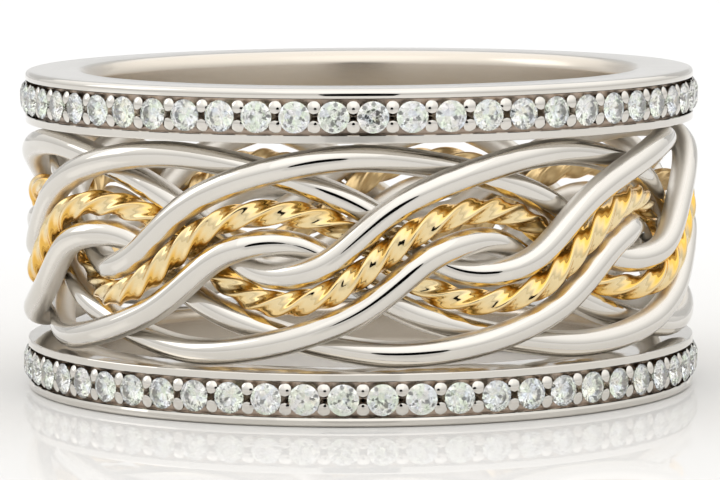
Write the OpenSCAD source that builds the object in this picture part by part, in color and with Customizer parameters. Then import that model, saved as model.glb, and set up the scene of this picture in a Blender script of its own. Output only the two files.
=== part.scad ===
// Braided band ring: two edge rails set with round stones, and between them an open braid
// of round white gold wires and twisted yellow gold ropes.
// The ring lies on its side: Z is the finger's axis, z = 0 is the lower rail's flat face,
// and -Y is the front. Angles run from the front towards +X.

/* [Finger hole] */
// Diameter of the hole for the finger
bore_d = 17.3; // [15:0.1:21]

/* [Rails] */
// Thickness of a rail, from the finger hole to its outer border
rail_t = 2.1; // [1.8:0.05:2.6]
// Height of the border between the stones and the braid
inner_border_h = 0.25; // [0.2:0.01:0.4]
// Height of the border at the ring's edge
outer_border_h = 0.3; // [0.25:0.01:0.5]
// Height of the channel that the stones sit in
channel_h = 1.09; // [1.05:0.01:1.3]
// Depth of the channel under the border
channel_depth = 0.42; // [0.4:0.01:0.5]
// Rounding of a rail's edges in the finger hole
bore_edge_r = 0.45; // [0.1:0.01:0.5]
// Rounding of the border at the ring's edge
rim_edge_r = 0.2; // [0.1:0.01:0.25]

/* [Stones] */
// Stones in each rail
stone_count = 57; // [54:1:57]
// Diameter of a stone
stone_d = 0.96; // [0.9:0.01:0.98]
// How far the stones and the braid stand out past the borders
proud = 0.15; // [0.1:0.01:0.2]
// Diameter of the metal beads that hold the stones
bead_d = 0.36; // [0.3:0.01:0.36]
// Distance of a bead from the middle of the row
bead_offset = 0.34; // [0.33:0.01:0.36]
// Angle of the first stone in the upper rail
upper_row_turn = 2.2; // [0:0.1:6]
// Angle of the first stone in the lower rail
lower_row_turn = 3.5; // [0:0.1:6]

/* [Braid] */
// Height of the open space between the rails
braid_h = 6.94; // [6.8:0.01:7.2]
// Repeats of the braid round the ring
repeats = 10; // [10:1:10]
// Diameter of a white gold wire
wire_d = 0.83; // [0.75:0.01:0.84]
// Width of one wire and one rope side by side
lane_w = 1.6; // [1.5:0.01:1.6]
// Gap between the braid's outer and inner layers
layer_gap = 0.04; // [0.03:0.01:0.1]
// Gap between the braid and the rails
rail_gap = 0.07; // [0.03:0.01:0.12]
// How far the upper wire dips under the middle of the ring
upper_dip = 0.62; // [0.6:0.01:0.65]
// How far the lower wire rises over the middle of the ring
lower_rise = 0.42; // [0.4:0.01:0.45]
// Height of the ropes' crests over the middle of the ring
rope_crest = 1.33; // [1.3:0.01:1.36]
// Depth of the ropes' troughs under the middle of the ring
rope_trough = 1.49; // [1.45:0.01:1.5]
// Quarter twists of a rope in one trip round the ring
rope_quarters = 70; // [56:1:84]
// Angle of the upper wire's first crest
upper_turn = 1.2; // [1:0.1:1.4]
// Angle of the lower wire's first trough
lower_turn = 5.3; // [5.1:0.1:5.5]
// Angle of the ropes' first crest
rope_turn = -16; // [-16.2:0.1:-15.8]

/* [Hidden] */
$fn = 96;

bore_r = bore_d / 2;
border_r = bore_r + rail_t;
floor_r = border_r - channel_depth;
outer_r = border_r + proud;
rail_h = inner_border_h + channel_h + outer_border_h;
ring_w = braid_h + 2 * rail_h;
row_z = braid_h / 2 + inner_border_h + channel_h / 2;
stone_step = 360 / stone_count;

// A round cut stone, with its parts as shares of its diameter
table_share = 0.56;
crown_share = 0.14;
pavilion_share = 0.38;
girdle_sides = 16;
table_sides = 8;
bead_sides = 24;

wire_r = wire_d / 2;
rope_r = (lane_w - wire_d) / 2;
outer_layer_r = outer_r - wire_r;
layer_step = wire_d + layer_gap;
wire_reach = braid_h / 2 - rail_gap - wire_r;
repeat_a = 360 / repeats;

// How far a rope's ridge is turned away from outwards at a crest
ridge_turn = -15;

wire_rings = 240;
wire_sides = 6;
rope_rings = 250;
rope_sides = 4;

// A wire climbs to the right over the strands that come down, and takes three repeats
// for one wave. A rope takes two.
wire_period = 3;
rope_period = 2;

// One wave of a wire. Columns: repeats from the crest, height as a share of the wave,
// depth as a share of the step between the layers.
wire_wave = [
    [-1.44, 0.00, 0.50],
    [-1.31, 0.03, 0.13],
    [-1.17, 0.13, 0.00],
    [-1.00, 0.40, 0.00],
    [-0.86, 0.60, 0.00],
    [-0.69, 0.75, 0.00],
    [-0.50, 0.87, 0.00],
    [-0.25, 0.97, 0.20],
    [ 0.00, 1.00, 0.50],
    [ 0.25, 0.95, 0.80],
    [ 0.50, 0.86, 1.00],
    [ 0.83, 0.69, 1.00],
    [ 1.06, 0.49, 1.00],
    [ 1.28, 0.20, 1.00],
    [ 1.42, 0.05, 0.85]
];

// One wave of a rope, with the same columns
rope_wave = [
    [-0.97, 0.00, 0.50],
    [-0.83, 0.04, 0.20],
    [-0.69, 0.14, 0.00],
    [-0.56, 0.34, 0.00],
    [-0.42, 0.60, 0.00],
    [-0.28, 0.83, 0.00],
    [-0.11, 0.98, 0.20],
    [ 0.00, 1.00, 0.40],
    [ 0.17, 0.97, 0.70],
    [ 0.36, 0.82, 1.05],
    [ 0.50, 0.61, 1.15],
    [ 0.67, 0.31, 1.20],
    [ 0.83, 0.10, 1.10]
];

// A point on a wave's table, which goes on past its ends
function wave_row(wave, period, i) =
    let (laps = floor(i / len(wave)), row = wave[i - laps * len(wave)])
    [row[0] + laps * period, row[1], row[2]];

// A smooth curve through the rows of a wave's table
function wave_at(wave, period, x) =
    let (
        u = x - period * floor((x - wave[0][0]) / period),
        i = max([for (k = [0 : len(wave) - 1]) if (wave[k][0] <= u) k]),
        before = wave_row(wave, period, i - 1),
        from = wave_row(wave, period, i),
        to = wave_row(wave, period, i + 1),
        after = wave_row(wave, period, i + 2),
        span = to[0] - from[0],
        t = (u - from[0]) / span,
        slope_from = (to - before) / (to[0] - before[0]),
        slope_to = (after - from) / (after[0] - from[0])
    )
    (2 * pow(t, 3) - 3 * pow(t, 2) + 1) * from
    + (pow(t, 3) - 2 * pow(t, 2) + t) * span * slope_from
    + (3 * pow(t, 2) - 2 * pow(t, 3)) * to
    + (pow(t, 3) - pow(t, 2)) * span * slope_to;

// A place in the braid from its angle, its height over the ring's middle and its depth
function place(angle, height, depth) =
    let (r = outer_layer_r - depth * layer_step)
    [r * sin(angle), -r * cos(angle), ring_w / 2 + height];

function upper_wire_at(angle) =
    let (w = wave_at(wire_wave, wire_period, (angle - upper_turn) / repeat_a))
    place(angle, -upper_dip + w[1] * (wire_reach + upper_dip), w[2]);

// The lower wire is the upper one's wave turned over
function lower_wire_at(angle) =
    let (w = wave_at(wire_wave, wire_period, (lower_turn - angle) / repeat_a))
    place(angle, lower_rise - w[1] * (wire_reach + lower_rise), w[2]);

function rope_at(angle, shift) =
    let (w = wave_at(rope_wave, rope_period, (angle - rope_turn) / repeat_a - shift))
    place(angle, -rope_trough + w[1] * (rope_crest + rope_trough), w[2]);

function unit(v) = v / norm(v);

// How far along a closed way each of its points lies, as a share of its whole length
function shares_along(points) =
    let (
        count = len(points),
        sums = [
            for (i = 0, sum = 0; i <= count;
                sum = sum + norm(points[(i + 1) % count] - points[i % count]), i = i + 1)
                sum
        ]
    )
    sums / sums[count];

// The corners of one ring of a strand, square to the strand's way
function ring_points(at, before, after, radius, sides, turn) =
    let (
        along = unit(after - before),
        outwards = unit([at[0], at[1], 0]),
        side = unit(cross(along, outwards)),
        up = cross(side, along)
    )
    [for (k = [0 : sides - 1])
        let (a = turn + 360 * k / sides)
        at + radius * (cos(a) * up + sin(a) * side)];

// A closed strand through rings of points. One that is twisted by some corners in its whole
// trip meets its start that many corners on.
module strand(rings, corners_on = 0) {
    count = len(rings);
    sides = len(rings[0]);
    points = [for (ring = rings) each ring];
    faces = [
        for (i = [0 : count - 1], k = [0 : sides - 1])
            let (
                i2 = (i + 1) % count,
                k2 = (k + 1) % sides,
                back = i2 == 0 ? sides - corners_on % sides : 0,
                a = i * sides + k,
                b = i * sides + k2,
                c = i2 * sides + (k2 + back) % sides,
                d = i2 * sides + (k + back) % sides
            )
            each [[a, c, b], [a, d, c]]
    ];
    polyhedron(points, faces);
}

module upper_wire() {
    step = 360 * wire_period / wire_rings;
    color("gainsboro")
    strand([for (i = [0 : wire_rings - 1])
        ring_points(
            upper_wire_at(i * step), upper_wire_at((i - 0.5) * step),
            upper_wire_at((i + 0.5) * step), wire_r, wire_sides, 0
        )
    ]);
}

module lower_wire() {
    step = 360 * wire_period / wire_rings;
    color("gainsboro")
    strand([for (i = [0 : wire_rings - 1])
        ring_points(
            lower_wire_at(i * step), lower_wire_at((i - 0.5) * step),
            lower_wire_at((i + 0.5) * step), wire_r, wire_sides, 0
        )
    ]);
}

// A square wire twisted left-handed, evenly along its length
module gold_rope(shift) {
    step = 360 / rope_rings;
    first = rope_turn + shift * repeat_a;
    shares = shares_along([for (i = [0 : rope_rings - 1]) rope_at(first + i * step, shift)]);
    color("goldenrod")
    strand([for (i = [0 : rope_rings - 1])
        let (angle = first + i * step)
        ring_points(
            rope_at(angle, shift), rope_at(angle - step / 2, shift),
            rope_at(angle + step / 2, shift), rope_r, rope_sides,
            ridge_turn - 90 * rope_quarters * shares[i]
        )
    ], rope_quarters);
}

module gold_rope_1() {
    gold_rope(0);
}

module gold_rope_2() {
    gold_rope(1);
}

// The section of the upper rail, from its face on the braid's side upwards
module rail_section() {
    difference() {
        union() {
            translate([bore_r + bore_edge_r, 0])
            square([rail_t - bore_edge_r - rim_edge_r, rail_h]);
            translate([bore_r + bore_edge_r, 0])
            square([rail_t - bore_edge_r, rail_h - rim_edge_r]);
            translate([bore_r, bore_edge_r])
            square([rail_t - rim_edge_r, rail_h - 2 * bore_edge_r]);
            for (z = [bore_edge_r, rail_h - bore_edge_r])
                translate([bore_r + bore_edge_r, z])
                circle(r = bore_edge_r);
            translate([border_r - rim_edge_r, rail_h - rim_edge_r])
            circle(r = rim_edge_r);
        }
        translate([floor_r, inner_border_h])
        square([rail_t, channel_h]);
    }
}

// A bead: a short post with a round head, standing out from the channel's floor
module bead() {
    head_r = floor_r + channel_depth - bead_d / 4;
    rotate([90, 0, 0])
    rotate_extrude($fn = bead_sides) {
        translate([0, floor_r - channel_depth / 2])
        square([bead_d / 2, head_r - floor_r + channel_depth / 2]);
        intersection() {
            translate([0, head_r])
            circle(d = bead_d);
            translate([0, head_r])
            square(bead_d);
        }
    }
}

// A rail with its beads, two in each gap of the row
module rail(row_turn) {
    color("silver") {
        translate([0, 0, -inner_border_h - channel_h / 2])
        rotate_extrude()
        rail_section();
        for (i = [0 : stone_count - 1], side = [-1, 1])
            rotate([0, 0, row_turn + (i + 0.5) * stone_step])
            translate([0, 0, side * bead_offset])
            bead();
    }
}

// One stone with its table outwards, at the front of the row
module stone() {
    table_r = stone_d * table_share / 2;
    girdle_y = -outer_r + stone_d * crown_share;
    culet_y = girdle_y + stone_d * pavilion_share;
    table = [for (k = [0 : table_sides - 1])
        let (a = 360 * (k + 0.5) / table_sides)
        [table_r * cos(a), -outer_r, table_r * sin(a)]];
    girdle = [for (k = [0 : girdle_sides - 1])
        let (a = 360 * k / girdle_sides)
        [stone_d / 2 * cos(a), girdle_y, stone_d / 2 * sin(a)]];
    culet = table_sides + girdle_sides;
    crown = [for (k = [0 : table_sides - 1])
        let (
            here = k,
            next = (k + 1) % table_sides,
            g0 = table_sides + 2 * k,
            g1 = table_sides + 2 * k + 1,
            g2 = table_sides + (2 * k + 2) % girdle_sides
        )
        each [[here, g1, g0], [here, g2, g1], [here, next, g2]]];
    pavilion = [for (k = [0 : girdle_sides - 1])
        [table_sides + k, table_sides + (k + 1) % girdle_sides, culet]];
    polyhedron(
        concat(table, girdle, [[0, culet_y, 0]]),
        concat([[for (k = [table_sides - 1 : -1 : 0]) k]], crown, pavilion)
    );
}

module stone_row(row_turn) {
    color("aliceblue")
    for (i = [0 : stone_count - 1])
        rotate([0, 0, row_turn + i * stone_step])
        stone();
}

// Whatever belongs to the upper row, at its height
module upper_row() {
    translate([0, 0, ring_w / 2 + row_z])
    children();
}

// Whatever belongs to the lower row, upside down at its height
module lower_row() {
    translate([0, 0, ring_w / 2 - row_z])
    mirror([0, 0, 1])
    children();
}

module rail_top() {
    upper_row() rail(upper_row_turn);
}

module rail_bottom() {
    lower_row() rail(lower_row_turn);
}

module stones_top() {
    upper_row() stone_row(upper_row_turn);
}

module stones_bottom() {
    lower_row() stone_row(lower_row_turn);
}

rail_top();
rail_bottom();
stones_top();
stones_bottom();
upper_wire();
lower_wire();
gold_rope_1();
gold_rope_2();
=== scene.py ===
import math
import random

import bmesh
import bpy
from mathutils import Matrix, Vector


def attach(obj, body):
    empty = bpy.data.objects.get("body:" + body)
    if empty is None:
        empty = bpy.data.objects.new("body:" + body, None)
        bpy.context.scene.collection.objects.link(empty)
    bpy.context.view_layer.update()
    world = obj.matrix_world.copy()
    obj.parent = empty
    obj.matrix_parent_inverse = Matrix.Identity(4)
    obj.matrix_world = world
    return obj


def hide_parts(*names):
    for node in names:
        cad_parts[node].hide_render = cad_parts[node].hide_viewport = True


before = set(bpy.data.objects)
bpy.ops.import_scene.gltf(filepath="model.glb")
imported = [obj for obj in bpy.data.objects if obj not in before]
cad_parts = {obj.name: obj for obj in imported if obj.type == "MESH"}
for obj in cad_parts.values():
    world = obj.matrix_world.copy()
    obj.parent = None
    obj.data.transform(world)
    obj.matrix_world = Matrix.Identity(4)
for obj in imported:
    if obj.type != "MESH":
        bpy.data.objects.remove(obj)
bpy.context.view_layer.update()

bpy.ops.object.select_all(action="DESELECT")

# The solids' own sizes, in millimetres and degrees
MM = 0.001
BORE_R = 8.65
BORDER_R = 10.75
FLOOR_R = 10.33
MIDDLE = 5.11
BRAID_TOP = 3.47
CHANNEL_LOW = 3.72
CHANNEL_HIGH = 4.81
RAIL_TOP = 5.11
ROW_HEIGHT = 4.265
BORE_EDGE = 0.45

STONE_COUNT = 57
STONE_R = 0.48
STONE_STEP = 360 / STONE_COUNT
GIRDLE_PLACE = 10.766
ROW_TURN = {1: 2.2, -1: 3.5}

REPEAT = 36.0
WIRE_R = 0.415
OUTER_LAYER_R = 10.485
LAYER_STEP = 0.87
WIRE_REACH = 2.985
UPPER_DIP = 0.62
LOWER_RISE = 0.42
ROPE_CREST = 1.33
ROPE_TROUGH = 1.49
ROPE_QUARTERS = 70
RIDGE_TURN = -15.0
UPPER_TURN = 1.2
LOWER_TURN = 5.3
ROPE_TURN = -16.0
WIRE_ROUNDS = 3
WIRE_REPEATS = 3
ROPE_REPEATS = 2

# Sizes that the solids don't have, or have only roughly
RIM_EDGE = 0.16
BRIGHT_CUT = 0.09
CUT_DEPTH = 0.03
CHANNEL_EDGE = 0.02
BRAID_EDGE = 0.04
RAIL_STEPS = 288
BEAD_R = 0.205
BEAD_CURVE = 0.39
BEAD_TOP = 10.81
BEAD_POST = 0.4
BEAD_OFFSET = 0.31
BEAD_LEAN = 13
SETTING_TIP = 2.5
ROPE_R = 0.41
ROPE_HOLLOW_R = 0.315

# Columns: repeats from the crest, height and depth as shares
WIRE_WAVE = (
    (-1.44, 0.00, 0.50), (-1.31, 0.03, 0.13), (-1.17, 0.13, 0.00),
    (-1.00, 0.40, 0.00), (-0.86, 0.60, 0.00), (-0.69, 0.75, 0.00),
    (-0.50, 0.87, 0.00), (-0.25, 0.97, 0.20), (0.00, 1.00, 0.50),
    (0.25, 0.95, 0.80), (0.50, 0.86, 1.00), (0.83, 0.69, 1.00),
    (1.06, 0.49, 1.00), (1.28, 0.20, 1.00), (1.42, 0.05, 0.85),
)
ROPE_WAVE = (
    (-0.97, 0.00, 0.50), (-0.83, 0.04, 0.20), (-0.69, 0.14, 0.00),
    (-0.56, 0.34, 0.00), (-0.42, 0.60, 0.00), (-0.28, 0.83, 0.00),
    (-0.11, 0.98, 0.20), (0.00, 1.00, 0.40), (0.17, 0.97, 0.70),
    (0.36, 0.82, 1.05), (0.50, 0.61, 1.15), (0.67, 0.31, 1.20),
    (0.83, 0.10, 1.10),
)


# ---- shader nodes


class Value:
    """What a socket gives, to be used in sums like a number."""

    def __init__(self, finish, socket):
        self.finish = finish
        self.socket = socket

    def _sum(self, operation, first, second):
        node = self.finish.node("ShaderNodeMath", {"operation": operation}, {0: first, 1: second})
        return self.finish.value(node, 0)

    def __add__(self, other):
        return self._sum("ADD", self, other)

    def __radd__(self, other):
        return self._sum("ADD", other, self)

    def __sub__(self, other):
        return self._sum("SUBTRACT", self, other)

    def __rsub__(self, other):
        return self._sum("SUBTRACT", other, self)

    def __mul__(self, other):
        return self._sum("MULTIPLY", self, other)

    def __rmul__(self, other):
        return self._sum("MULTIPLY", other, self)


class Finish:
    """The node tree of a material or of the surroundings."""

    def __init__(self, tree):
        self.tree = tree
        tree.nodes.clear()

    def value(self, node, output):
        return Value(self, node.outputs[output])

    def node(self, kind, settings=None, inputs=None):
        node = self.tree.nodes.new(kind)
        for name, setting in (settings or {}).items():
            if name == "stops":
                stops = node.color_ramp.elements
                while len(stops) < len(setting):
                    stops.new(0.5)
                for stop, (place, color) in zip(stops, setting):
                    stop.position = place
                    stop.color = (*color, 1)
            else:
                setattr(node, name, setting)
        for name, given in (inputs or {}).items():
            if isinstance(given, Value):
                self.tree.links.new(given.socket, node.inputs[name])
            elif isinstance(given, bpy.types.NodeSocket):
                self.tree.links.new(given, node.inputs[name])
            else:
                node.inputs[name].default_value = given
        return node

    def mix(self, share, first, second):
        """A colour that is the first where share is 0 and the second where it is 1."""
        # The mix node's colour sockets are its seventh and eighth input and its third output
        return self.node(
            "ShaderNodeMix", {"data_type": "RGBA"}, {"Factor": share, 6: first, 7: second}
        ).outputs[2]


def new_finish(name):
    material = bpy.data.materials.new(name)
    material.use_nodes = True
    return material, Finish(material.node_tree)


def noise(finish, scale, detail):
    """Noise that goes with the piece, its scale counted to the metre."""
    place = finish.node("ShaderNodeTexCoord").outputs["Object"]
    return finish.value(finish.node(
        "ShaderNodeTexNoise", None, {"Vector": place, "Scale": scale, "Detail": detail},
    ), "Fac")


def rising(value, start, end):
    """0 up to start and 1 from end on."""
    node = value.finish.node(
        "ShaderNodeMapRange", None, {"Value": value, "From Min": start, "From Max": end}
    )
    return value.finish.value(node, 0)


def outwards(finish):
    """The level way from the finger's axis to the surface, in millimetres."""
    place = finish.node("ShaderNodeTexCoord").outputs["Object"]
    return finish.node(
        "ShaderNodeVectorMath", {"operation": "MULTIPLY"}, {0: place, 1: (1 / MM, 1 / MM, 0)}
    ).outputs[0]


def radius_of(finish):
    node = finish.node("ShaderNodeVectorMath", {"operation": "LENGTH"}, {0: outwards(finish)})
    return finish.value(node, "Value")


def facing_out(finish):
    """1 where the surface faces away from the finger, -1 where it faces the finger."""
    normal = finish.node("ShaderNodeTexCoord").outputs["Normal"]
    way = finish.node("ShaderNodeVectorMath", {"operation": "NORMALIZE"}, {0: outwards(finish)})
    node = finish.node(
        "ShaderNodeVectorMath", {"operation": "DOT_PRODUCT"}, {0: normal, 1: way.outputs[0]}
    )
    return finish.value(node, "Value")


def rail_wear_and_painted_shade(finish, color, rough):
    """The stones' channel is dull and painted brown, darker the deeper it goes, as painted shade;
    the finger keeps the hole's wall satin, and a warm brown tint on that wall is a painted
    reflection.
    """
    radius = radius_of(finish)
    place = finish.node("ShaderNodeTexCoord").outputs["Object"]
    z = finish.value(finish.node("ShaderNodeSeparateXYZ", None, {0: place}), 2)
    level = finish.node("ShaderNodeMath", {"operation": "ABSOLUTE"}, {0: z * (1 / MM) - MIDDLE})
    height = finish.value(level, 0)
    depth = rising(radius, BORDER_R - 0.13, FLOOR_R + 0.04)
    outside = rising(radius, FLOOR_R - 0.33, FLOOR_R - 0.28)
    above = rising(height, CHANNEL_LOW - 0.03, CHANNEL_LOW - 0.02)
    below = rising(height, CHANNEL_HIGH + 0.03, CHANNEL_HIGH + 0.02)
    channel = depth * outside * above * below
    satin = rising(radius, BORE_R + BORE_EDGE, BORE_R + 0.15)
    # Painted shade: the channel is mixed toward dark brown, more so the deeper it lies
    color = finish.mix(channel, color, (0.46, 0.37, 0.30, 1))
    # Painted reflection: the satin hole wall is tinted warm brown
    color = finish.mix(satin * 0.6, color, (0.66, 0.58, 0.48, 1))
    return color, rough + channel * 0.2 + satin * 0.2


def wire_wear_and_painted_light(finish, color, rough):
    """The wheel polishes a wire's outer side, and the rest of it is satin, its colour painted
    lighter there to lift the shade on the inner side.
    """
    inner = rising(facing_out(finish), 0.75, 0.30)
    # Painted light: the inner side is mixed toward a lighter warm grey to brighten its shade
    return finish.mix(inner * 0.75, color, (0.74, 0.70, 0.64, 1)), rough + inner * 0.45


def rope_wear_and_painted_shade(finish, color, rough):
    """The rope is palest on its outer faces, painted deep yellow at its sides as painted shade, and
    satin inside.
    """
    facing = facing_out(finish)
    side = rising(facing, 0.96, 0.62)
    inner = rising(facing, 0.1, -0.4)
    # Painted shade: the rope's sides are mixed toward deep amber
    color = finish.mix(side, color, (0.82, 0.49, 0.11, 1))
    return finish.mix(inner * 0.7, color, (0.70, 0.57, 0.36, 1)), rough + inner * 0.3


def polished_metal(name, pale, deep, roughness, roughness_spread, wear_and_painted_light):
    """Polished gold: slightly uneven tone, faint polishing haze and a gently waved surface."""
    material, finish = new_finish(name)
    tone = noise(finish, 420.0, 3.0)
    haze = noise(finish, 2600.0, 4.0)
    swell = noise(finish, 900.0, 1.0)
    ripple = noise(finish, 9000.0, 2.0)
    # Besides wear, this also paints light and shade into the colour
    color, rough = wear_and_painted_light(
        finish, finish.mix(tone, (*deep, 1), (*pale, 1)), haze * roughness_spread + roughness
    )
    bump = finish.node(
        "ShaderNodeBump", None,
        {"Strength": 1.0, "Distance": 0.006 * MM, "Height": swell + ripple * 0.04},
    )
    skin = finish.node(
        "ShaderNodeBsdfPrincipled", None,
        {
            "Base Color": color,
            "Metallic": 1.0,
            "Roughness": rough,
            "Normal": bump.outputs[0],
        },
    )
    finish.node("ShaderNodeOutputMaterial", None, {"Surface": skin.outputs[0]})
    return material


def cut_stone(name):
    """A clear stone whose facets break the light, with coloured flashes of split light painted into
    its colour in small patches.
    """
    material, finish = new_finish(name)
    place = finish.node("ShaderNodeTexCoord").outputs["Object"]
    # Painted fire: small patches of the colour turn faint green, yellow, pink and blue
    painted_fire_flashes = finish.node("ShaderNodeTexVoronoi", None, {"Vector": place, "Scale": 5200.0})
    chance = finish.node("ShaderNodeSeparateColor", None, {0: painted_fire_flashes.outputs["Color"]})
    color = finish.node(
        "ShaderNodeValToRGB",
        {"stops": (
            (0.15, (0.86, 0.98, 0.76)), (0.28, (0.97, 1.0, 0.95)), (0.42, (1.0, 1.0, 1.0)),
            (0.58, (1.0, 0.96, 0.98)), (0.70, (1.0, 0.98, 0.76)), (0.85, (0.83, 0.90, 1.0)),
        )},
        {0: chance.outputs[0]},
    )
    haze = noise(finish, 5000.0, 1.0)
    skin = finish.node(
        "ShaderNodeBsdfPrincipled", None,
        {
            "Base Color": color.outputs[0],
            "Roughness": haze * 0.01,
            "IOR": 2.417,
            "Transmission Weight": 0.92,
        },
    )
    finish.node("ShaderNodeOutputMaterial", None, {"Surface": skin.outputs[0]})
    return material


# ---- modelling


def pick(piece):
    for other in bpy.context.selected_objects:
        other.select_set(False)
    piece.select_set(True)
    bpy.context.view_layer.objects.active = piece


def choose(piece, mode, passes):
    """In edit mode, selects the vertices or the edges whose middle passes the test."""
    bpy.ops.mesh.select_mode(type=mode)
    bpy.ops.mesh.select_all(action="DESELECT")
    shape = bmesh.from_edit_mesh(piece.data)
    for part in shape.verts if mode == "VERT" else shape.edges:
        middle = part.co if mode == "VERT" else (part.verts[0].co + part.verts[1].co) / 2
        if passes(middle):
            part.select_set(True)
    shape.select_flush_mode()
    bmesh.update_edit_mesh(piece.data)


def near(a, b, reach=0.003 * MM):
    return abs(a - b) < reach


def finish_mesh(name, material, node):
    """Names the active piece, gives it its material and sets it in the place of the solid."""
    piece = bpy.context.object
    piece.name = name
    piece.data.name = name
    piece.data.materials.clear()
    piece.data.materials.append(material)
    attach(piece, "root")
    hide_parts(node)
    return piece


def copy_round(model, places):
    """Copies of a model at places, joined to one piece. The model itself is removed."""
    made = []
    for place in places:
        piece = model.copy()
        piece.data = model.data.copy()
        piece.data.transform(place)
        bpy.context.collection.objects.link(piece)
        made.append(piece)
    bpy.data.objects.remove(model)
    pick(made[0])
    for piece in made:
        piece.select_set(True)
    bpy.ops.object.join()
    return made[0]


def outward_at(angle, height, radius):
    """Turns +Z of a model outwards at that angle, its +X along the row."""
    a = math.radians(angle)
    out = Vector((math.sin(a), -math.cos(a), 0))
    along = Vector((math.cos(a), math.sin(a), 0))
    up = Vector((0, 0, 1))
    turn = Matrix((along, up, out)).transposed()
    return Matrix.Translation(out * radius * MM + up * (MIDDLE + height) * MM) @ turn.to_4x4()


def rail(name, side, material):
    """A rail: its section is cut and rounded, spun round the finger's axis and set with beads."""

    def z(height):
        return (MIDDLE + side * height) * MM

    low, high = sorted((z(BRAID_TOP), z(RAIL_TOP)))
    bpy.ops.mesh.primitive_plane_add(
        size=1, location=((BORE_R + FLOOR_R) / 2 * MM, 0, (low + high) / 2),
        rotation=(math.pi / 2, 0, 0),
    )
    piece = bpy.context.object
    piece.scale = ((FLOOR_R - BORE_R) * MM, high - low, 1)
    bpy.ops.object.transform_apply(location=True, rotation=True, scale=True)
    bpy.ops.object.mode_set(mode="EDIT")
    cut_high = CHANNEL_HIGH + BRIGHT_CUT
    for height in (CHANNEL_LOW, CHANNEL_HIGH, cut_high):
        bpy.ops.mesh.select_all(action="SELECT")
        bpy.ops.mesh.bisect(
            plane_co=(0, 0, z(height)), plane_no=(0, 0, 1), threshold=1e-8
        )
    for edge_low, edge_high in ((BRAID_TOP, CHANNEL_LOW), (CHANNEL_HIGH, RAIL_TOP)):
        ends = sorted((z(edge_low), z(edge_high)))
        choose(piece, "EDGE", lambda m: near(m.x, FLOOR_R * MM) and ends[0] < m.z < ends[1])
        bpy.ops.mesh.extrude_region_move(
            TRANSFORM_OT_translate={"value": ((BORDER_R - FLOOR_R) * MM, 0, 0)}
        )
    bpy.ops.mesh.select_all(action="SELECT")
    bpy.ops.mesh.dissolve_faces()
    choose(
        piece, "VERT",
        lambda m: near(m.x, BORE_R * MM) and not near(m.z, low) and not near(m.z, high),
    )
    bpy.ops.mesh.dissolve_verts()
    # The outer border is cut bright beside the stones
    choose(piece, "VERT", lambda m: near(m.x, BORDER_R * MM) and near(m.z, z(CHANNEL_HIGH)))
    bpy.ops.transform.translate(value=(-CUT_DEPTH * MM, 0, 0))
    # Columns: radius and height of a corner of the section, width and segments of its rounding
    for radius, height, width, segments in (
        (BORE_R, BRAID_TOP, BORE_EDGE, 9),
        (BORE_R, RAIL_TOP, BORE_EDGE, 9),
        (BORDER_R, RAIL_TOP, RIM_EDGE, 8),
        (BORDER_R - CUT_DEPTH, CHANNEL_HIGH, CHANNEL_EDGE, 1),
        (BORDER_R, CHANNEL_LOW, CHANNEL_EDGE, 1),
        (BORDER_R, BRAID_TOP, BRAID_EDGE, 2),
    ):
        choose(piece, "VERT", lambda m: near(m.x, radius * MM) and near(m.z, z(height)))
        bpy.ops.mesh.bevel(
            offset=width * MM, segments=segments, affect="VERTICES", clamp_overlap=False
        )
    bpy.ops.mesh.select_mode(type="FACE")
    bpy.ops.mesh.select_all(action="SELECT")
    bpy.ops.mesh.delete(type="ONLY_FACE")
    bpy.ops.mesh.select_mode(type="VERT")
    bpy.ops.mesh.select_all(action="SELECT")
    bpy.ops.mesh.spin(steps=RAIL_STEPS, angle=math.tau, center=(0, 0, 0), axis=(0, 0, 1))
    bpy.ops.mesh.select_all(action="SELECT")
    bpy.ops.mesh.remove_doubles(threshold=1e-7)
    bpy.ops.mesh.normals_make_consistent(inside=False)
    bpy.ops.object.mode_set(mode="OBJECT")
    bpy.ops.object.shade_smooth_by_angle(angle=math.radians(15))
    bpy.ops.object.modifier_add(type="WEIGHTED_NORMAL")
    piece.modifiers[-1].keep_sharp = True
    bpy.ops.object.modifier_apply(modifier=piece.modifiers[-1].name)
    # The two beads of a pair lean away from each other
    beads = copy_round(bead(), [
        outward_at(
            ROW_TURN[side] + (i + 0.5) * STONE_STEP, side * ROW_HEIGHT + way * BEAD_OFFSET, BEAD_TOP
        ) @ Matrix.Rotation(math.radians(-BEAD_LEAN * way), 4, "X")
        for i in range(STONE_COUNT) for way in (-1, 1)
    ])
    pick(piece)
    beads.select_set(True)
    bpy.ops.object.join()
    return finish_mesh(name, material, "rail_top" if side > 0 else "rail_bottom")


def bead():
    """A bead raised beside the stones: a flat dome on a post, its top at the origin."""
    bpy.ops.mesh.primitive_uv_sphere_add(
        segments=12, ring_count=15, radius=BEAD_CURVE * MM, location=(0, 0, -BEAD_CURVE * MM)
    )
    piece = bpy.context.object
    bpy.ops.object.transform_apply(location=True)
    bpy.ops.object.mode_set(mode="EDIT")
    bpy.ops.mesh.select_all(action="SELECT")
    rim = (math.sqrt(BEAD_CURVE**2 - BEAD_R**2) - BEAD_CURVE) * MM
    bpy.ops.mesh.bisect(
        plane_co=(0, 0, rim), plane_no=(0, 0, 1), clear_inner=True, threshold=1e-8
    )
    choose(piece, "EDGE", lambda m: near(m.z, rim))
    bpy.ops.mesh.extrude_region_move(
        TRANSFORM_OT_translate={"value": (0, 0, -BEAD_POST * MM)}
    )
    bpy.ops.mesh.edge_face_add()
    bpy.ops.mesh.select_all(action="SELECT")
    bpy.ops.mesh.normals_make_consistent(inside=False)
    bpy.ops.object.mode_set(mode="OBJECT")
    bpy.ops.object.shade_smooth_by_angle(angle=math.radians(50))
    return piece


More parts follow.
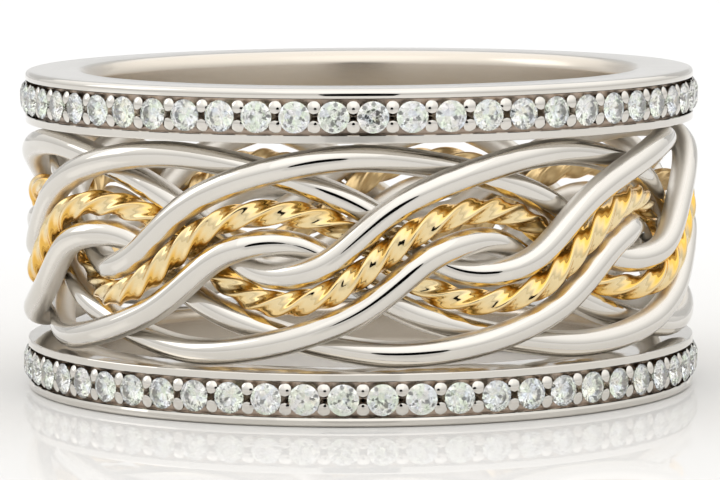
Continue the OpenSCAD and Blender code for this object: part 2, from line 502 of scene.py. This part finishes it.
def brilliant():
    """A round brilliant, cut facet by facet from a blank, its table at +Z."""
    crown, pavilion, girdle, table_r = 0.134, 0.413, 0.03, 0.275
    bpy.ops.mesh.primitive_cylinder_add(
        vertices=32, radius=STONE_R * MM, depth=(crown + pavilion) * MM,
        location=(0, 0, (crown - pavilion) / 2 * MM),
    )
    piece = bpy.context.object
    bpy.ops.object.transform_apply(location=True)
    bpy.ops.object.mode_set(mode="EDIT")
    half_eighth, half_sixteenth = 22.5, 11.25
    flat_r = STONE_R * math.cos(math.radians(half_sixteenth))
    star_r = table_r * math.cos(math.radians(half_eighth))
    # Columns: count, first angle, slope, radius and height of a point of the facet
    facets = (
        (8, 0.0, 32.6, STONE_R, girdle / 2),
        (16, half_sixteenth, 39.5, flat_r, girdle / 2),
        (8, half_eighth, 21.0, star_r, crown),
        (8, 0.0, -40.9, 0.0, -pavilion),
        (16, half_sixteenth, -41.9, flat_r, -girdle / 4),
    )
    for count, first, slope, radius, height in facets:
        s = math.radians(slope)
        for k in range(count):
            a = math.radians(first + 360 / count * k)
            bpy.ops.mesh.select_all(action="SELECT")
            bpy.ops.mesh.bisect(
                plane_co=(radius * math.cos(a) * MM, radius * math.sin(a) * MM, height * MM),
                plane_no=(
                    math.cos(a) * abs(math.sin(s)), math.sin(a) * abs(math.sin(s)),
                    math.copysign(math.cos(s), slope),
                ),
                use_fill=True, clear_outer=True, threshold=1e-8,
            )
    bpy.ops.mesh.select_all(action="SELECT")
    bpy.ops.mesh.remove_doubles(threshold=1e-6)
    bpy.ops.mesh.normals_make_consistent(inside=False)
    bpy.ops.object.mode_set(mode="OBJECT")
    bpy.ops.object.shade_flat()
    return piece


def stone_row(name, side, material, seed):
    """A row of stones, each turned and tipped a little by the setter's hand."""
    hand = random.Random(seed)
    places = []
    for i in range(STONE_COUNT):
        tip = Matrix.Rotation(math.radians(hand.uniform(-SETTING_TIP, SETTING_TIP)), 4, "X")
        tip @= Matrix.Rotation(math.radians(hand.uniform(-SETTING_TIP, SETTING_TIP)), 4, "Y")
        turn = Matrix.Rotation(math.radians(hand.uniform(0, 45)), 4, "Z")
        angle = ROW_TURN[side] + i * STONE_STEP
        places.append(outward_at(angle, side * ROW_HEIGHT, GIRDLE_PLACE) @ tip @ turn)
    pick(copy_round(brilliant(), places))
    return finish_mesh(name, material, "stones_top" if side > 0 else "stones_bottom")


def wave_at(wave, period, x):
    """Height and depth on a smooth curve through a wave's table."""
    count = len(wave)
    u = x - period * math.floor((x - wave[0][0]) / period)
    i = max((k for k in range(count) if wave[k][0] <= u), default=0)

    def row(k):
        laps, k = divmod(k, count)
        return Vector((wave[k][0] + laps * period, wave[k][1], wave[k][2]))

    before, start, end, after = row(i - 1), row(i), row(i + 1), row(i + 2)
    span = end.x - start.x
    t = (u - start.x) / span
    slope_start = (end - before) / (end.x - before.x)
    slope_end = (after - start) / (after.x - start.x)
    return (
        (2 * t**3 - 3 * t**2 + 1) * start + (t**3 - 2 * t**2 + t) * span * slope_start
        + (3 * t**2 - 2 * t**3) * end + (t**3 - t**2) * span * slope_end
    )


def drawn_wave(wave, period, x):
    """The wave as a drawn wire follows it, without sudden changes of bend."""
    reach, step = 4, 0.03
    total, weights = Vector((0, 0, 0)), 0.0
    for k in range(-reach, reach + 1):
        weight = math.exp(-0.5 * (k / 2) ** 2)
        total += wave_at(wave, period, x + k * step) * weight
        weights += weight
    return total / weights


def point_of_braid(angle, height, depth):
    a = math.radians(angle)
    radius = (OUTER_LAYER_R - depth * LAYER_STEP) * MM
    return Vector((radius * math.sin(a), -radius * math.cos(a), (MIDDLE + height) * MM))


def upper_wire_at(angle):
    w = drawn_wave(WIRE_WAVE, WIRE_REPEATS, (angle - UPPER_TURN) / REPEAT)
    return point_of_braid(angle, w.y * (WIRE_REACH + UPPER_DIP) - UPPER_DIP, w.z)


def lower_wire_at(angle):
    w = drawn_wave(WIRE_WAVE, WIRE_REPEATS, (LOWER_TURN - angle) / REPEAT)
    return point_of_braid(angle, LOWER_RISE - w.y * (WIRE_REACH + LOWER_RISE), w.z)


def rope_at(angle, shift):
    w = drawn_wave(ROPE_WAVE, ROPE_REPEATS, (angle - ROPE_TURN) / REPEAT - shift)
    return point_of_braid(angle, w.y * (ROPE_CREST + ROPE_TROUGH) - ROPE_TROUGH, w.z)


def line_through(name, places, closed):
    """A curve through places, as a drawn wire lies."""
    data = bpy.data.curves.new(name, "CURVE")
    data.dimensions = "3D"
    data.twist_mode = "Z_UP"
    line = data.splines.new("POLY")
    line.points.add(len(places) - 1)
    for point, at in zip(line.points, places):
        point.co = (*at, 1)
    line.use_cyclic_u = closed
    curve = bpy.data.objects.new(name, data)
    bpy.context.collection.objects.link(curve)
    return curve


def wire(name, way, node, material):
    """A round wire that goes round the ring three times before it meets its start."""
    count = 2880
    step = 360 * WIRE_ROUNDS / count
    curve = line_through(name, [way(i * step) for i in range(count)], True)
    curve.data.bevel_depth = WIRE_R * MM
    curve.data.bevel_resolution = 10
    pick(curve)
    bpy.ops.object.convert(target="MESH")
    bpy.ops.object.shade_smooth()
    return finish_mesh(name, material, node)


def rope(name, shift, node, material):
    """A square wire with hollowed sides, twisted left-handed, evenly along its length."""
    # A ring of points for each step of the twist, so that the points also run straight
    twist_step = 5
    count = 90 * ROPE_QUARTERS // twist_step
    first = ROPE_TURN + shift * REPEAT
    step = 360 / count
    places = [rope_at(first + i * step, shift) for i in range(count + 1)]
    lengths = [0.0]
    for i in range(count):
        lengths.append(lengths[-1] + (places[i + 1] - places[i]).length)
    curve = line_through(name, places, False)
    for i, point in enumerate(curve.data.splines[0].points):
        along = (places[(i + 1) % count] - places[(i - 1) % count]).normalized()
        side = along.cross(Vector((places[i].x, places[i].y, 0))).normalized()
        up = side.cross(along)
        turn = math.radians(RIDGE_TURN - 90 * ROPE_QUARTERS * lengths[i] / lengths[-1])
        ridge = up * math.cos(turn) + side * math.sin(turn)
        level = Vector((0, 0, 1)).cross(along).normalized()
        point.tilt = math.atan2(ridge.dot(along.cross(level)), ridge.dot(level))
    section = []
    for quarter in range(4):
        for off in range(0, 90, twist_step):
            a = math.radians(off)
            lobe = ((1 + math.cos(4 * a)) / 2) ** 2.2
            radius = (ROPE_HOLLOW_R + (ROPE_R - ROPE_HOLLOW_R) * lobe) * MM
            a += quarter * math.pi / 2
            section.append(Vector((radius * math.cos(a), radius * math.sin(a), 0)))
    drawplate = line_through(name + "_section", section, True)
    curve.data.bevel_mode = "OBJECT"
    curve.data.bevel_object = drawplate
    pick(curve)
    bpy.ops.object.convert(target="MESH")
    bpy.data.objects.remove(drawplate)
    bpy.ops.object.mode_set(mode="EDIT")
    bpy.ops.mesh.select_all(action="SELECT")
    bpy.ops.mesh.remove_doubles(threshold=5e-6)
    bpy.ops.mesh.normals_make_consistent(inside=False)
    bpy.ops.object.mode_set(mode="OBJECT")
    bpy.ops.object.shade_smooth()
    return finish_mesh(name, material, node)


white_pale, white_deep = (0.70, 0.672, 0.625), (0.63, 0.602, 0.555)
yellow_pale, yellow_deep = (0.81, 0.67, 0.41), (0.76, 0.60, 0.32)
rail_gold = polished_metal("white_gold_of_rails", white_pale, white_deep, 0.03, 0.05, rail_wear_and_painted_shade)
wire_gold = polished_metal("white_gold_of_wires", white_pale, white_deep, 0.03, 0.05, wire_wear_and_painted_light)
rope_gold = polished_metal("yellow_gold_of_ropes", yellow_pale, yellow_deep, 0.06, 0.08, rope_wear_and_painted_shade)
stone = cut_stone("cut_stone")

rail("upper_rail", 1, rail_gold)
rail("lower_rail", -1, rail_gold)
stone_row("upper_stones", 1, stone, 11)
stone_row("lower_stones", -1, stone, 12)
wire("upper_braid_wire", upper_wire_at, "upper_wire", wire_gold)
wire("lower_braid_wire", lower_wire_at, "lower_wire", wire_gold)
rope("first_rope", 0, "gold_rope_1", rope_gold)
rope("second_rope", 1, "gold_rope_2", rope_gold)


# ---- stage, light and camera

FLOOR_SIZE, FLOOR_BACK = 2.4, 1.6
WALL_HEIGHT, WALL_ROUNDING = 0.8, 0.25
CAMERA_PLACE = (0, -0.145, 0.01927)
CAMERA_DOWN = 5.775
CAMERA_ROLL = -0.0055

bpy.ops.mesh.primitive_plane_add(
    size=FLOOR_SIZE, location=(0, FLOOR_BACK - FLOOR_SIZE / 2, 0)
)
floor = bpy.context.object
floor.name = "floor"
bpy.ops.object.transform_apply(location=True)
bpy.ops.object.mode_set(mode="EDIT")
choose(floor, "EDGE", lambda m: near(m.y, FLOOR_BACK, 0.01))
bpy.ops.mesh.extrude_region_move(TRANSFORM_OT_translate={"value": (0, 0, WALL_HEIGHT)})
choose(floor, "EDGE", lambda m: near(m.y, FLOOR_BACK, 0.01) and near(m.z, 0, 0.01))
bpy.ops.mesh.bevel(offset=WALL_ROUNDING, segments=12, affect="EDGES")
bpy.ops.object.mode_set(mode="OBJECT")
bpy.ops.object.shade_smooth()
floor_material, finish = new_finish("glossy_white_floor")
from_ring = radius_of(finish)
# Painted shadow: the floor's colour is darker near the ring, fading out from 14 to 45 mm; it turns
# grey from 400 to 900 mm away
white = finish.mix(rising(from_ring, 14.0, 45.0), (0.76, 0.752, 0.738, 1), (0.79, 0.79, 0.79, 1))
white = finish.mix(rising(from_ring, 400.0, 900.0), white, (0.62, 0.62, 0.62, 1))
matt = finish.node("ShaderNodeBsdfDiffuse", None, {"Color": white})
gloss = finish.node(
    "ShaderNodeBsdfGlossy", None,
    {"Color": (1, 1, 1, 1), "Roughness": noise(finish, 60.0, 2.0) * 0.01 + 0.015},
)
both = finish.node("ShaderNodeMixShader", None, {0: 0.2, 1: matt.outputs[0], 2: gloss.outputs[0]})
finish.node("ShaderNodeOutputMaterial", None, {"Surface": both.outputs[0]})
floor.data.materials.append(floor_material)

# A round black screen stands round the camera, and only reflections show it
bpy.ops.mesh.primitive_circle_add(
    vertices=64, radius=0.034, fill_type="NGON",
    location=(0, -0.1475, 0.0193), rotation=(math.radians(90), 0, 0),
)
screen = bpy.context.object
screen.name = "black_screen"
bpy.ops.object.transform_apply(location=True, rotation=True)
screen_material, finish = new_finish("black_cloth")
skin = finish.node(
    "ShaderNodeBsdfDiffuse", None, {"Color": (0.004, 0.004, 0.004, 1), "Roughness": 1.0}
)
finish.node("ShaderNodeOutputMaterial", None, {"Surface": skin.outputs[0]})
screen.data.materials.append(screen_material)
screen.visible_camera = False


def softbox(name, at, size, radiance, color):
    """A square soft light that faces the ring."""
    data = bpy.data.lights.new(name, "AREA")
    data.shape = "SQUARE"
    data.size = size
    data.energy = radiance * math.pi * size * size
    data.color = color
    light = bpy.data.objects.new(name, data)
    light.location = at
    toward = Vector((0, 0, MIDDLE * MM)) - Vector(at)
    light.rotation_euler = toward.to_track_quat("-Z", "Y").to_euler()
    bpy.context.collection.objects.link(light)


softbox("front_softbox", (0.0, -0.45, 0.50), 0.7, 0.18, (1.0, 0.995, 0.98))
softbox("left_softbox", (-0.55, 0.05, 0.35), 0.35, 0.8, (1.0, 1.0, 1.0))

world = bpy.data.worlds.new("studio")
bpy.context.scene.world = world
world.use_nodes = True
finish = Finish(world.node_tree)
way = finish.node("ShaderNodeTexCoord").outputs["Generated"]
height = finish.node("ShaderNodeSeparateXYZ", None, {0: way}).outputs[2]
tone = finish.node(
    "ShaderNodeValToRGB",
    {"stops": (
        (0.0, (0.80, 0.795, 0.785)), (0.15, (0.88, 0.875, 0.865)), (0.35, (1.10, 1.095, 1.08)),
        (0.6, (1.36, 1.355, 1.34)), (1.0, (1.48, 1.47, 1.46)),
    )},
    {0: height},
)
light = finish.node("ShaderNodeBackground", None, {"Color": tone.outputs[0], "Strength": 1.0})
finish.node("ShaderNodeOutputWorld", None, {"Surface": light.outputs[0]})

lens = bpy.data.cameras.new("camera")
lens.lens = 225.05
lens.sensor_width = 36.0
lens.clip_start = 0.01
lens.clip_end = 10.0
camera = bpy.data.objects.new("camera", lens)
camera.matrix_world = (
    Matrix.Translation(CAMERA_PLACE)
    @ Matrix.Rotation(math.radians(90 - CAMERA_DOWN), 4, "X")
    @ Matrix.Rotation(CAMERA_ROLL, 4, "Z")
)
bpy.context.collection.objects.link(camera)
bpy.context.scene.camera = camera
bpy.context.scene.view_settings.view_transform = "Standard"
